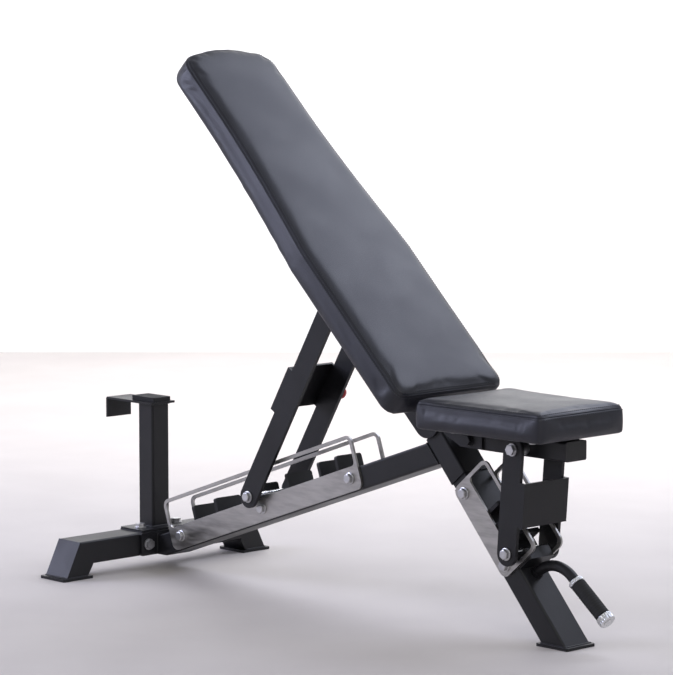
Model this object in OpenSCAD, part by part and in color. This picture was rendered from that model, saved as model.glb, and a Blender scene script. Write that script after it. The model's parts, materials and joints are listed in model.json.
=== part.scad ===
// Adjustable weight bench: rear stabilizer, sloping spine, front leg, ladder-set
// backrest and ladder-set seat. Millimetres, +Z up, bench length along X,
// seat end towards +X, standing on z = 0.

/* [Frame tubes] */
// Width of the frame tubes across the bench
tube_w = 75; // [60:1:90]
// Depth of the frame tubes
tube_d = 50; // [40:1:60]
// Wall of every steel tube
tube_wall = 3; // [2:0.5:4]
// Slope of the spine from horizontal, degrees
spine_angle = 19.4; // [15:0.1:24]
// Slope of the front leg from horizontal, degrees
leg_angle = 49; // [42:0.5:60]
// Distance from rear stabilizer centre to front foot centre
foot_spacing = 1255; // [1150:5:1400]

/* [Rear stabilizer] */
// Overall width of the rear feet, over the foot plates
rear_span = 616; // [520:2:740]
// Depth of the stabilizer tube
stab_d = 52; // [44:1:60]
// Clear height under the stabilizer
stab_lift = 31.4; // [20:0.2:60]
// Sideways lean of the two end legs
stab_leg_run = 38; // [20:1:60]
// Length of the square foot plates
foot_l = 85; // [70:1:110]
// Thickness of the steel foot plates
foot_t = 3.5; // [3:0.5:8]
// Thickness of the rubber foot pads
foot_pad_t = 2.5; // [2:0.5:6]
// Width of the bolted flange between spine and stabilizer
flange_w = 170; // [140:2:200]
// Thickness of the bolted flange
flange_t = 6; // [4:1:10]

/* [Post] */
// Height of the rubber bumper's top, which carries the flat backrest
post_h = 383.3; // [340:0.1:430]
// Side of the square post tube
post_s = 50; // [40:1:60]
// How far the post stands behind the stabilizer's centre
post_back = 12; // [0:1:20]
// Length of the post's base plate across the bench
post_base_l = 152; // [120:2:180]
// Reach of the post's top plate behind the post's centre
post_reach = 124; // [90:2:150]
// Drop of the top plate's rear lip
post_lip = 47; // [30:1:60]
// Thickness of the post's plates
post_plate_t = 5; // [4:1:8]
// Thickness of the rubber bumper
bumper_t = 10; // [6:1:16]

/* [Ladders] */
// Thickness of the side guards
guard_t = 5; // [4:1:8]
// Height of the guard plates
guard_h = 117; // [105:1:130]
// Width of the guards' slim rails
guard_rail = 8; // [6:1:12]
// Height of the guards' bolted band
guard_band = 51.5; // [46:0.5:58]
// Thickness of a ladder tooth
tooth_t = 8; // [6:1:12]
// Height of a ladder tooth
tooth_h = 37; // [28:1:42]
// Diameter of the two ladder pins
pin_d = 14; // [10:1:20]

/* [Backrest] */
// Backrest angle as stored, degrees from horizontal
back_angle = 44; // [30:1:60]
// Length of the backrest pad
back_l = 993; // [850:1:1100]
// Width of the backrest pad at its lower end
back_w = 317; // [270:1:360]
// Width of the backrest pad at its head end
back_top_w = 262; // [220:1:300]
// Thickness of the backrest pad at its seam
pad_t = 58; // [45:1:75]
// Depth of the backrest tube
back_tube_d = 45; // [35:1:55]

/* [Seat] */
// Height of the seat pad's underside
seat_z = 420.5; // [380:0.5:450]
// Length of the seat pad
seat_l = 333; // [280:1:380]
// Width of the seat pad at its rear edge
seat_w = 278; // [240:1:320]
// Width of the seat pad at its front edge
seat_front_w = 250; // [200:1:300]
// Thickness of the seat pad at its seam
seat_t = 55; // [40:1:70]
// Width of the seat tube
seat_tube_w = 60; // [50:1:70]
// Depth of the seat tube
seat_tube_d = 40; // [30:1:50]

/* [Struts] */
// Width of the strut bars
bar_w = 50; // [36:1:56]
// Thickness of the strut bars
bar_t = 8; // [5:1:10]
// Distance between the outer faces of a pair of strut bars
strut_w = 130; // [126:1:150]
// Length of the backrest strut between its pivots
back_strut_l = 513.8; // [470:0.2:560]
// Length of the seat strut between its pivots
seat_strut_l = 213.3; // [190:0.1:240]

/* [Handle] */
// Diameter of the bent handle tube
handle_d = 22; // [18:1:28]
// Diameter of the rubber grip
grip_d = 31; // [26:1:38]
// Length of the rubber grip
grip_l = 88; // [70:1:130]

/* [Hidden] */
$fn = 48;
// Small gap between parts that move past each other
run_gap = 0.5;
// Gap between a ladder pin and what it rests on
pin_lift = 0.3;
// Radial clearance of a pin in its bore
bore_gap = 0.05;
// Steel left between the guards' window and the top of the tube
guard_sink = 3;
// Pivot shafts
shaft_r = 8;
// Hex heads: half width over corners, height; washer radius and thickness
hex_r = 11;
hex_h = 7.5;
washer_r = 13;
washer_t = 2.5;
// Layout heights
foot_h = foot_t + foot_pad_t;
stab_top = stab_lift + stab_d;
// Half lengths of the stabilizer's top and bottom faces, either side of its mitres
stab_leg_w = 60;
stab_top_y = rear_span / 2 - 51;
mitre_y = stab_top_y - 0.62 * stab_leg_w;
// Where the spine's underside starts, on the flange's rear face
spine_z = 18.8;
spine_x = tube_w / 2;
bar_y = strut_w / 2 - bar_t;
// The hinge axis of backrest and seat
hinge_x = foot_spacing - 352.5;
hinge_z = 422;
// Leg coordinates: along the leg from the foot, and out through its front face
leg_u = [-cos(leg_angle), sin(leg_angle)];
leg_v = [sin(leg_angle), cos(leg_angle)];
hinge_rel = [hinge_x - foot_spacing, hinge_z - foot_h];
hinge_along = hinge_rel * leg_u;
hinge_out = hinge_rel * leg_v;
stub_top = hinge_along - 28;
stub_l = 112;
stub_gap = 14;
// Backrest levels, measured out from the hinge axis along the pad's normal
back_n0 = 12;
strap_t = 5;
board_t = 12;
board_inset = 14;
seat_inset = 15;
pad_s0 = 13;
tube_s0 = 40;
back_tube_w = tube_w + 2 * run_gap;
back_strut_s = 344.3;
back_strut_n = -18.7;
// Hinge plates
plate_t = 5;
lobe_r = 36;
seat_plate_y = seat_tube_w / 2;
back_plate_y = back_tube_w / 2;
// Seat levels
seat_x0 = hinge_x + 62;
seat_tube_top = seat_z - strap_t;
seat_tube_x0 = hinge_x + 104;
seat_tube_x1 = foot_spacing + 22;
seat_strut_x = foot_spacing - 87;
seat_strut_z = 393;

// Pin of the backrest strut: it rests on the guards' windows, against a tooth.
// How far up the spine it rests for a backrest angle
pin_n = guard_sink + guard_band + pin_d / 2 + pin_lift;
function unit(a) = [cos(a), sin(a)];
function back_pivot(a) =
    [hinge_x, hinge_z] + back_strut_s * unit(180 - a) + back_strut_n * unit(90 - a);
function spine_point(a, n) =
    [spine_x, spine_z] + a * unit(spine_angle) + n * unit(90 + spine_angle);
function reach(from, to, l) =
    // distance along unit line from[0], from[1] at which a circle at to, radius l, is met
    let (w = to - from[0], m = w * from[1]) m - sqrt(l * l - w * w + m * m);
function pin_along(a) =
    reach([spine_point(0, pin_n), unit(spine_angle)], back_pivot(a), back_strut_l);
ladder_angles = [13, 26, back_angle, 59, 75, 86];
tooth_at = [for (a = ladder_angles) pin_along(a) - pin_d / 2 - pin_lift];

// Pin of the seat strut: how far up the leg it rests for a seat angle
leg_pin_n = pin_n - tube_d / 2;
function leg_point(a, n) = [foot_spacing, foot_h] + a * leg_u + n * leg_v;
function turn(p, a) = [p[0] * cos(a) - p[1] * sin(a), p[0] * sin(a) + p[1] * cos(a)];
seat_rel = [seat_strut_x - hinge_x, seat_strut_z - hinge_z];
function seat_pivot(a) = [hinge_x, hinge_z] + turn(seat_rel, a);
function leg_pin_along(a) =
    reach([leg_point(0, leg_pin_n), leg_u], seat_pivot(a), seat_strut_l);
seat_angles = [0, 6, 10.8, 14.6];
rung_at = [for (a = seat_angles) leg_pin_along(a) - pin_d / 2 - pin_lift];
base_rung_t = 25;

back_pin = spine_point(pin_along(back_angle), pin_n);
seat_pin_xz = leg_point(leg_pin_along(0), leg_pin_n);
back_strut_top = back_pivot(back_angle);
function heading(from, to) = atan2(to[1] - from[1], to[0] - from[0]);
back_strut_dir = heading(back_pin, back_strut_top);
seat_strut_dir = heading(seat_pin_xz, [seat_strut_x, seat_strut_z]);

// Guard plates, in the coordinates of the tube that carries them
rear_guard_a0 = 74;
rear_guard_l = 646;
front_guard_a0 = 172;
front_guard_l = 220;
rear_guard_bolts_at = [111, 397, 689];
front_guard_bolts_at = [193, 369];
guard_bolt_n = 31;

// Strut channels, measured from the ladder pin
back_channel = [210, 110];
seat_channel = [60, 90];
channel_d = 14;
channel_t = 5;

// Handle: bend in the bench's middle plane, then a straight grip
handle_bend_r = 70;
handle_slope = 39;
handle_root = 150.5;
ring_l = 9;
cap_l = 16;
handle_neck = 8;
handle_tail = 12;
root_v = leg_point(handle_root, tube_d / 2 + handle_neck);
bend_c = root_v - handle_bend_r * [-sin(90 - leg_angle), cos(90 - leg_angle)];
tail_u = [cos(handle_slope), -sin(handle_slope)];
bend_end = bend_c + handle_bend_r * [sin(handle_slope), cos(handle_slope)];
handle_end = bend_end + (handle_tail + ring_l + grip_l + cap_l) * tail_u;
cap_d = 35;

// The bench's origin is under the middle of its overall length
back_reach = -post_back - post_reach - 3;
front_reach = handle_end[0] + cap_d / 2 * sin(handle_slope);
mid_x = (back_reach + front_reach) / 2;

// ---------- places ----------

module on_bench() translate([-mid_x, 0, 0]) children();

// Local X runs up the spine from its rear end, local Z out through its top face
module on_spine(a = 0, n = 0)
    on_bench() translate([spine_x, 0, spine_z]) rotate([0, -spine_angle, 0])
        translate([a, 0, n]) children();

// Local X runs up the leg from the foot, local Z out through its front face
module on_leg(a = 0, n = 0)
    on_bench() translate([foot_spacing, 0, foot_h]) rotate([0, leg_angle - 180, 0])
        rotate([180, 0, 0]) translate([a, 0, n]) children();

// Local X runs up the backrest from the hinge axis, local Z out through the pad
module on_back(s = 0, n = 0)
    on_bench() translate([hinge_x, 0, hinge_z]) rotate([0, back_angle - 180, 0])
        rotate([180, 0, 0]) translate([s, 0, n]) children();

// Local X runs up a strut from its ladder pin, local Z towards its front edge
module on_strut(pin, dir, a = 0, n = 0)
    on_bench() translate([pin[0], 0, pin[1]]) rotate([0, -dir, 0]) rotate([180, 0, 0])
        translate([a, 0, n]) children();

module both_sides() {
    children();
    mirror([0, 1, 0]) children();
}

// ---------- shapes ----------

// Rectangular tube along X, w across Y, d along Z, centred on the X axis
module box_tube(l, w, d, wall = tube_wall, r = 5)
    rotate([90, 0, 90]) linear_extrude(l) difference() {
        round_rect(w, d, r);
        round_rect(w - 2 * wall, d - 2 * wall, max(r - wall, 0.8));
    }

// Rounded rectangle centred on the origin, its corners true arcs
module round_rect(w, d, r) {
    square([w - 2 * r, d], center = true);
    square([w, d - 2 * r], center = true);
    for (x = [-1, 1], y = [-1, 1])
        translate([x * (w / 2 - r), y * (d / 2 - r)]) circle(r);
}

// Round bar along Y, from y0 to y1
module rod_y(r, y0, y1)
    translate([0, y1, 0]) rotate([90, 0, 0]) cylinder(r = r, h = y1 - y0);

// Ring along Y, from y0 to y1
module ring_y(r, bore, y0, y1)
    difference() {
        rod_y(r, y0, y1);
        rod_y(bore, y0 - 1, y1 + 1);
    }

// Flat outline in the XZ plane, given thickness from y0 to y1
module slab_y(y0, y1)
    translate([0, y1, 0]) rotate([90, 0, 0]) linear_extrude(y1 - y0) children();

// Hex head on a washer, standing on the XY plane
module hex_head(h = hex_h) {
    cylinder(r = washer_r, h = washer_t);
    cylinder(r = hex_r, h = washer_t + h, $fn = 6);
}

// Hex head on a washer, standing out along +Y from the plane y
module hex_head_y(y, h = hex_h)
    translate([0, y, 0]) rotate([-90, 0, 0]) hex_head(h);

// ---------- base ----------

module rear_stabilizer()
    color("#23242a") on_bench() intersection() {
        translate([0, rear_span / 2, stab_lift + stab_d / 2]) rotate([0, 0, -90])
            box_tube(rear_span, tube_w, stab_d);
        slab_x(tube_w) polygon([[-stab_top_y, stab_top], [stab_top_y, stab_top],
            [mitre_y, stab_lift], [-mitre_y, stab_lift]]);
    }

// Outline in the YZ plane, given thickness w along X
module slab_x(w)
    translate([-w / 2, 0, 0]) rotate([90, 0, 90]) linear_extrude(w) children();

module stabilizer_leg(side)
    color("#23242a") on_bench() scale_side(side) {
        out = stab_top_y + stab_leg_run;
        difference() {
            slab_x(tube_w) polygon([[stab_top_y, stab_top], [out, foot_h],
                [out - stab_leg_w, foot_h], [mitre_y, stab_lift]]);
            slab_x(tube_w - 2 * tube_wall) polygon([[stab_top_y - 4, stab_top - 9],
                [out - 4, foot_h - 1], [out - stab_leg_w + 4, foot_h - 1],
                [mitre_y + 6, stab_lift + 3]]);
        }
    }

module scale_side(side) if (side > 0) children(); else mirror([0, 1, 0]) children();

module stabilizer_leg_left() stabilizer_leg(1);
module stabilizer_leg_right() stabilizer_leg(-1);

module foot_plate(z0, t, x, y)
    translate([x, y, z0]) linear_extrude(t) round_rect(foot_l, foot_l - 1, 4);

rear_foot_y = rear_span / 2 - foot_l / 2;

module rear_foot_plates()
    color("#26272b") on_bench() both_sides()
        foot_plate(foot_pad_t, foot_t, 0, rear_foot_y);

module front_foot_plate()
    color("#26272b") on_bench() foot_plate(foot_pad_t, foot_t, foot_spacing, 0);

module foot_pads()
    color("#111113") on_bench() {
        both_sides() foot_plate(0, foot_pad_t, 0, rear_foot_y);
        foot_plate(0, foot_pad_t, foot_spacing, 0);
    }

// ---------- spine and leg ----------

module spine_flange()
    color("#23242a") on_bench() difference() {
        translate([spine_x + flange_t / 2, 0, stab_lift + stab_d / 2]) slab_x(flange_t)
            round_rect(flange_w, stab_d, 4);
        both_sides() flange_bolt_place() translate([0, 0, -1 - flange_t])
            cylinder(r = 6.5, h = flange_t + 2);
    }

// Bolts through the flange: local Z points out of the flange towards +X
module flange_bolt_place()
    translate([spine_x + flange_t, flange_w / 2 - 21, stab_lift + stab_d / 2])
        rotate([0, 90, 0]) children();

module spine_tube()
    color("#23242a") difference() {
        on_spine(-30, tube_d / 2) box_tube(leg_rear_along() + 90, tube_w, tube_d);
        on_bench() translate([spine_x + flange_t - 200, -100, -200])
            cube([200, 200, 400]);
        on_bench() translate([-100, -100, stab_lift - 200]) cube([400, 200, 200]);
        on_leg(0, -tube_d / 2) translate([0, -100, 0]) cube([900, 200, 300]);
    }

// Distance up the spine to the leg's rear face
function leg_rear_along() =
    let (p = leg_point(0, -tube_d / 2) - [spine_x, spine_z], u = unit(spine_angle))
        (p * leg_v) / (u * leg_v);

module leg_stub()
    color("#23242a") on_leg() {
        translate([stub_top - stub_l, 0, 0]) box_tube(stub_l, tube_w, tube_d);
        translate([stub_top - tube_wall, 0, 0]) rotate([90, 0, 90])
            linear_extrude(tube_wall) round_rect(tube_w - 1, tube_d - 1, 4);
    }

module leg_spigot()
    color("#1b1c20") on_leg()
        translate([stub_top - stub_l - stub_gap - 40, 0, 0])
            box_tube(stub_gap + 80, tube_w - 2 * tube_wall - 0.6,
                tube_d - 2 * tube_wall - 0.6, tube_wall, 1.8);

module front_leg()
    color("#23242a") difference() {
        on_leg(-60) box_tube(60 + stub_top - stub_l - stub_gap, tube_w, tube_d);
        on_bench() translate([foot_spacing - 150, -100, foot_h - 200])
            cube([300, 200, 200]);
    }

module hinge_lug()
    color("#23242a") {
        on_bench() translate([hinge_x, 0, hinge_z])
            ring_y(16, shaft_r + bore_gap, -seat_plate_y + run_gap,
                seat_plate_y - run_gap);
        difference() {
            on_leg() both_sides() translate([stub_top, 8, hinge_out - 14])
                cube([hinge_along - stub_top, 10, 28]);
            on_bench() translate([hinge_x, 0, hinge_z]) rod_y(15.9, -40, 40);
        }
    }

module hinge_bolt()
    color("#c9ccd0") on_bench() translate([hinge_x, 0, hinge_z]) {
        rod_y(shaft_r, -back_plate_y - plate_t, back_plate_y + plate_t);
        both_sides() hex_head_y(back_plate_y + plate_t + 0.3);
        both_sides() rod_y(shaft_r, back_plate_y + plate_t, back_plate_y + plate_t + 1);
    }

module hinge_washers()
    color("#c9ccd0") on_bench() translate([hinge_x, 0, hinge_z]) both_sides()
        ring_y(14, shaft_r + bore_gap, seat_plate_y + plate_t + 0.2,
            back_plate_y - 0.2);

// ---------- post ----------

post_plate_z = post_h - bumper_t;

module post_base_plate()
    color("#23242a") on_bench() translate([-2, 0, stab_top])
        linear_extrude(post_plate_t) round_rect(80, post_base_l, 4);

module post_tube()
    color("#23242a") on_bench()
        translate([-post_back, 0, stab_top + post_plate_t]) rotate([0, -90, 0])
            box_tube(post_plate_z - post_plate_t - stab_top - post_plate_t,
                post_s, post_s);

module post_top_plate()
    color("#23242a") on_bench() slab_y(-35, 35) polygon([
        [-post_back + post_s / 2 + 8, post_plate_z],
        [back_reach + 3, post_plate_z],
        [back_reach, post_plate_z - 4],
        [back_reach, post_plate_z - post_lip],
        [back_reach + post_plate_t, post_plate_z - post_lip],
        [back_reach + post_plate_t, post_plate_z - post_plate_t],
        [-post_back + post_s / 2 + 8, post_plate_z - post_plate_t]]);

module post_bumper()
    color("#17181a") on_bench() translate([-post_back - 8, 0, post_plate_z])
        linear_extrude(bumper_t) round_rect(78, 50, 3);

module base_bolts()
    color("#c9ccd0") on_bench() {
        both_sides() flange_bolt_place() {
            hex_head();
            translate([0, 0, -flange_t - 0.01]) cylinder(r = 6, h = flange_t + 0.01);
        }
        both_sides() translate([2, 53, stab_top + post_plate_t]) hex_head();
    }

// ---------- ladders and guards ----------

// Guard outline with its window: x along the tube, y out from the tube's near face
module guard_outline(l)
    difference() {
        translate([l / 2, guard_h / 2]) round_rect(l, guard_h, 17);
        translate([guard_rail + (l - 2 * guard_rail) / 2,
            guard_band + (guard_h - guard_rail - guard_band) / 2])
            round_rect(l - 2 * guard_rail, guard_h - guard_rail - guard_band, 9);
    }

module rear_guard_left()
    color("#c4c6c8") on_spine() difference() {
        translate([rear_guard_a0, 0, guard_sink])
            slab_y(tube_w / 2, tube_w / 2 + guard_t) guard_outline(rear_guard_l);
        for (a = rear_guard_bolts_at) translate([a, 0, guard_bolt_n])
            rod_y(6.2, tube_w / 2 - 1, tube_w / 2 + guard_t + 1);
    }

module rear_guard_right() mirror([0, 1, 0]) rear_guard_left();

module front_guard_left()
    color("#c4c6c8") on_leg() mirror([0, 1, 0]) difference() {
        translate([front_guard_a0, 0, guard_sink - tube_d / 2])
            slab_y(tube_w / 2, tube_w / 2 + guard_t) guard_outline(front_guard_l);
        for (a = front_guard_bolts_at) translate([a, 0, 0])
            rod_y(6.2, tube_w / 2 - 1, tube_w / 2 + guard_t + 1);
    }

module front_guard_right() mirror([0, 1, 0]) front_guard_left();

module guard_bolt()
    hex_head_y(tube_w / 2 + guard_t);

module guard_stud()
    rod_y(6, tube_w / 2 + 0.01, tube_w / 2 + guard_t + 1);

module rear_guard_bolts()
    color("#c9ccd0") both_sides() on_spine()
        for (a = rear_guard_bolts_at) translate([a, 0, guard_bolt_n]) {
            guard_bolt();
            guard_stud();
        }

module front_guard_bolts()
    color("#c9ccd0") both_sides() on_leg()
        for (a = front_guard_bolts_at) translate([a, 0, 0]) {
            guard_bolt();
            guard_stud();
        }

// A tooth stands on a tube's face, its working face at local x = 0
module tooth(t)
    translate([-t, 0, 0]) rotate([90, 0, 90]) linear_extrude(t) {
        translate([0, tooth_h / 2]) square([tube_w - 1, tooth_h - 12], center = true);
        translate([0, tooth_h / 2]) square([tube_w - 13, tooth_h], center = true);
        for (y = [-1, 1]) {
            translate([y * (tube_w / 2 - 6.5), tooth_h - 6]) circle(6);
            translate([y * (tube_w / 2 - 4), 3.5]) square([7, 7], center = true);
        }
    }

module ladder_teeth()
    color("#1d1e22") for (a = tooth_at) on_spine(a, tube_d) tooth(tooth_t);

module seat_rungs()
    color("#1d1e22") for (i = [0:len(rung_at) - 1])
        on_leg(rung_at[i], tube_d / 2) tooth(i == 0 ? base_rung_t : tooth_t);

// ---------- handle ----------

// Bar along the handle's straight tail, from distance a to b past the bend
module tail_bar(r, a, b)
    on_bench() translate([bend_end[0], 0, bend_end[1]]) rotate([0, 90 + handle_slope, 0])
        translate([0, 0, a]) cylinder(r = r, h = b - a);

module handle_tube()
    color("#1c1d20") {
        on_leg(handle_root, tube_d / 2) cylinder(r = handle_d / 2 + 2, h = handle_neck + 1);
        on_bench() translate([bend_c[0], 0, bend_c[1]]) rotate([90, 0, 0])
            rotate([0, 0, 90 - handle_slope])
                rotate_extrude(angle = 90 - leg_angle + handle_slope, $fn = 96)
                    translate([handle_bend_r, 0]) circle(handle_d / 2);
        tail_bar(handle_d / 2, 0, handle_tail + ring_l + grip_l);
    }

module tail_sleeve(r, a, b)
    difference() {
        tail_bar(r, a, b);
        tail_bar(handle_d / 2, a - 1, b + 1);
    }

module handle_ring()
    color("#cfd2d4") tail_sleeve(grip_d / 2 + 1, handle_tail, handle_tail + ring_l);

module handle_grip()
    color("#161719") tail_sleeve(grip_d / 2, handle_tail + ring_l,
        handle_tail + ring_l + grip_l);

module handle_end_cap()
    color("#cfd2d4") tail_bar(cap_d / 2, handle_tail + ring_l + grip_l,
        handle_tail + ring_l + grip_l + cap_l);

// ---------- backrest ----------

// Corner of a flat outline: points of an arc from angle a0 to a1
function corner(x, y, r, a0, a1) =
    [for (i = [0:8]) [x + r * cos(a0 + (a1 - a0) * i / 8),
        y + r * sin(a0 + (a1 - a0) * i / 8)]];

// Closed outline of a pad from the points of its +Y half, lower end first
function mirrored(half) =
    concat(half, [for (i = [len(half) - 1:-1:0]) [half[i][0], -half[i][1]]]);

// Half width of the backrest pad: parallel, then a smooth taper to the head
back_straight = 0.41 * back_l;
function back_half(s) =
    let (t = max(0, (s - back_straight) / (0.8 * back_l - back_straight)))
        back_w / 2 - (back_w - back_top_w) / 2 * min(1, 1 - pow(1 - min(t, 1), 1.6));

// Pad outline: x up from the lower end
module back_outline(inset = 0) {
    w = back_w / 2 - inset;
    tw = back_top_w / 2 - inset;
    l = back_l - inset;
    low_r = 28 - inset;
    top_r = 50 - inset;
    polygon(mirrored(concat(
        corner(inset + low_r, w - low_r, low_r, 180, 90),
        [for (i = [0:8]) let (s = back_straight * (1 - i / 8) + 0.8 * back_l * i / 8)
            [s, back_half(s) - inset]],
        corner(l - top_r, tw - top_r, top_r, 90, 0))));
}

// Side profile of the backrest pad, its lower front edge rounded off
module back_profile() {
    r = 44;
    polygon(concat([[0, 0]], corner(r, pad_t - r, r, 180, 90),
        corner(back_l - 12, pad_t - 12, 12, 90, 0), [[back_l, 0]]));
}

module backrest_pad()
    color("#2b2d34") on_back(pad_s0, back_n0) difference() {
        intersection() {
            linear_extrude(pad_t) back_outline();
            slab_y(-back_w, back_w) back_profile();
        }
        translate([0, 0, -1]) linear_extrude(board_t + 1) back_outline(board_inset);
    }

module backrest_board()
    color("#191a1c") on_back(pad_s0, back_n0)
        linear_extrude(board_t) back_outline(board_inset);

back_tube_l = back_l - 90;
back_tube_n = back_n0 - strap_t - back_tube_d / 2;

module backrest_tube()
    color("#23242a") difference() {
        on_back(tube_s0, back_tube_n) box_tube(back_tube_l, back_tube_w, back_tube_d);
        on_back(back_strut_s, back_strut_n) rod_y(shaft_r + bore_gap, -60, 60);
    }

module backrest_tube_caps()
    color("#141518") for (s = [tube_s0 - 4, tube_s0 + back_tube_l])
        on_back(s, back_tube_n) rotate([90, 0, 90]) linear_extrude(4)
            round_rect(back_tube_w, back_tube_d, 5);

strap_s = [150, 820];
strap_l = 200;

module backrest_straps()
    color("#23242a") for (s = strap_s) on_back(s, back_n0 - strap_t)
        translate([-20, -strap_l / 2, 0]) cube([40, strap_l, strap_t]);

module backrest_screws()
    color("#b8bbbf") for (s = strap_s, y = [-1, 1])
        on_back(s, back_n0 - strap_t) translate([0, y * (strap_l / 2 - 14), -4])
            cylinder(r = 7, h = 4);

// Side plate at the hinge: a lobe round the axis and an arm along the tube
module hinge_plate_left()
    color("#23242a") difference() {
        on_back() slab_y(back_plate_y, back_plate_y + plate_t) {
            intersection() {
                circle(lobe_r);
                translate([-lobe_r, -lobe_r]) square([2 * lobe_r, lobe_r + back_n0 - 1]);
            }
            translate([0, -lobe_r]) square([tube_s0 + 110, lobe_r + back_n0 - 1 - strap_t]);
        }
        on_back() rod_y(shaft_r + bore_gap, -60, 60);
    }

module hinge_plate_right() mirror([0, 1, 0]) hinge_plate_left();

// Shaft of the backrest strut, with its spacers and its heads outside the bars
module strut_shaft()
    color("#c9ccd0") on_back(back_strut_s, back_strut_n) {
        rod_y(shaft_r, -strut_w / 2 - 1, strut_w / 2 + 1);
        both_sides() rod_y(14, back_plate_y, bar_y - 0.3);
        both_sides() hex_head_y(strut_w / 2 + 0.3);
    }

// ---------- struts ----------

module strut_bar(pin, dir, l)
    difference() {
        on_strut(pin, dir) slab_y(bar_y, bar_y + bar_t) {
            translate([0, -bar_w / 2]) square([l, bar_w]);
            circle(bar_w / 2);
            translate([l, 0]) circle(bar_w / 2);
        }
        on_strut(pin, dir, l) rod_y(shaft_r + bore_gap, -80, 80);
    }

// Channel across the two bars, on the edge given by side: -1 rear, 1 front
module strut_web(pin, dir, span, side)
    on_strut(pin, dir, span[0]) rotate([90, 0, 90]) linear_extrude(span[1])
        mirror([0, side < 0 ? 1 : 0]) difference() {
            translate([-strut_w / 2, bar_w / 2]) square([strut_w, channel_d]);
            translate([-strut_w / 2 + channel_t, bar_w / 2 - 1])
                square([strut_w - 2 * channel_t, channel_d + 1 - channel_t]);
        }

module pin_bolts(pin, dir)
    on_strut(pin, dir) both_sides() hex_head_y(strut_w / 2);

module strut_bar_left()
    color("#23242a") mirror([0, 1, 0]) strut_bar(back_pin, back_strut_dir, back_strut_l);
module strut_bar_right()
    color("#23242a") strut_bar(back_pin, back_strut_dir, back_strut_l);
module strut_channel()
    color("#23242a") strut_web(back_pin, back_strut_dir, back_channel, -1);
module strut_pin_bolts()
    color("#c9ccd0") pin_bolts(back_pin, back_strut_dir);

module strut_knob()
    color("#b8202a") on_strut(back_pin, back_strut_dir,
        back_channel[0] + back_channel[1] / 2) mirror([0, 1, 0]) {
            rod_y(5, strut_w / 2, strut_w / 2 + 8);
            translate([0, strut_w / 2 + 20, 0]) sphere(14);
        }

module strut_pin()
    color("#c9ccd0") on_bench() translate([back_pin[0], 0, back_pin[1]])
        rod_y(pin_d / 2, -bar_y + run_gap, bar_y - run_gap);

// ---------- seat ----------

module seat_outline(inset = 0) {
    w = seat_w / 2 - inset;
    fw = seat_front_w / 2 - inset;
    l = seat_l - inset;
    r = 22 - inset;
    polygon(mirrored(concat(corner(inset + r, w - r, r, 180, 92),
        corner(l - r, fw - r, r, 82, 0))));
}

// Side profile of the seat pad, its rear edges rounded off
module seat_profile() {
    r = 14;
    polygon(concat(corner(r, r, r, 270, 180), corner(40, seat_t - 40, 40, 180, 90),
        corner(seat_l - 10, seat_t - 10, 10, 90, 0), [[seat_l, 0]]));
}

module on_seat() on_bench() translate([seat_x0, 0, seat_z]) children();

module seat_pad()
    color("#2b2d34") on_seat() difference() {
        intersection() {
            linear_extrude(seat_t) seat_outline();
            slab_y(-seat_w, seat_w) seat_profile();
        }
        translate([0, 0, -1]) linear_extrude(board_t + 1) seat_outline(seat_inset);
    }

module seat_board()
    color("#191a1c") on_seat() linear_extrude(board_t) seat_outline(seat_inset);

seat_tube_l = seat_tube_x1 - seat_tube_x0;
seat_tube_mid = seat_tube_top - seat_tube_d / 2;

module seat_tube()
    color("#23242a") difference() {
        on_bench() translate([seat_tube_x0, 0, seat_tube_mid])
            box_tube(seat_tube_l, seat_tube_w, seat_tube_d);
        on_bench() translate([seat_strut_x, 0, seat_strut_z])
            rod_y(shaft_r + bore_gap, -60, 60);
    }

module seat_tube_cap()
    color("#2a2b2f") on_bench() translate([seat_tube_x1, 0, seat_tube_mid])
        rotate([90, 0, 90]) linear_extrude(3) round_rect(seat_tube_w, seat_tube_d, 4);

seat_strap_at = [50, 265];
seat_strap_l = 170;

module seat_straps()
    color("#23242a") for (x = seat_strap_at) on_seat()
        translate([x - 16, -seat_strap_l / 2, -strap_t]) cube([32, seat_strap_l, strap_t]);

module seat_screws()
    color("#b8bbbf") for (x = seat_strap_at, y = [-1, 1]) on_seat()
        translate([x, y * (seat_strap_l / 2 - 12), -strap_t - 4]) cylinder(r = 7, h = 4);

// Side plate from the hinge to the seat tube, passing over the top of the leg
module seat_plate_left()
    color("#23242a") on_bench() translate([hinge_x, 0, hinge_z]) difference() {
        union() {
            slab_y(seat_plate_y, seat_plate_y + plate_t) {
                circle(16);
                polygon([[0, -16], [14, -14.5], [36, -5], [50, -24], [92, -44], [152, -44],
                    [152, -6.6], [66, -6.6], [50, 8], [0, 8]]);
            }
            translate([115.5, 0, -28]) hex_head_y(seat_plate_y + plate_t);
        }
        rod_y(shaft_r + bore_gap, -60, 60);
    }

module seat_plate_right() mirror([0, 1, 0]) seat_plate_left();

module seat_strut_shaft()
    color("#c9ccd0") on_bench() translate([seat_strut_x, 0, seat_strut_z]) {
        rod_y(shaft_r, -strut_w / 2 - 1, strut_w / 2 + 1);
        both_sides() rod_y(14, seat_tube_w / 2, bar_y - 0.3);
        both_sides() hex_head_y(strut_w / 2 + 0.3);
    }

module seat_bar_left()
    color("#23242a") mirror([0, 1, 0]) strut_bar(seat_pin_xz, seat_strut_dir, seat_strut_l);
module seat_bar_right()
    color("#23242a") strut_bar(seat_pin_xz, seat_strut_dir, seat_strut_l);
module seat_channel_plate()
    color("#23242a") strut_web(seat_pin_xz, seat_strut_dir, seat_channel, 1);
module seat_pin_bolts()
    color("#c9ccd0") pin_bolts(seat_pin_xz, seat_strut_dir);

module seat_pin()
    color("#c9ccd0") on_bench() translate([seat_pin_xz[0], 0, seat_pin_xz[1]])
        rod_y(pin_d / 2, -bar_y + run_gap, bar_y - run_gap);

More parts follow.
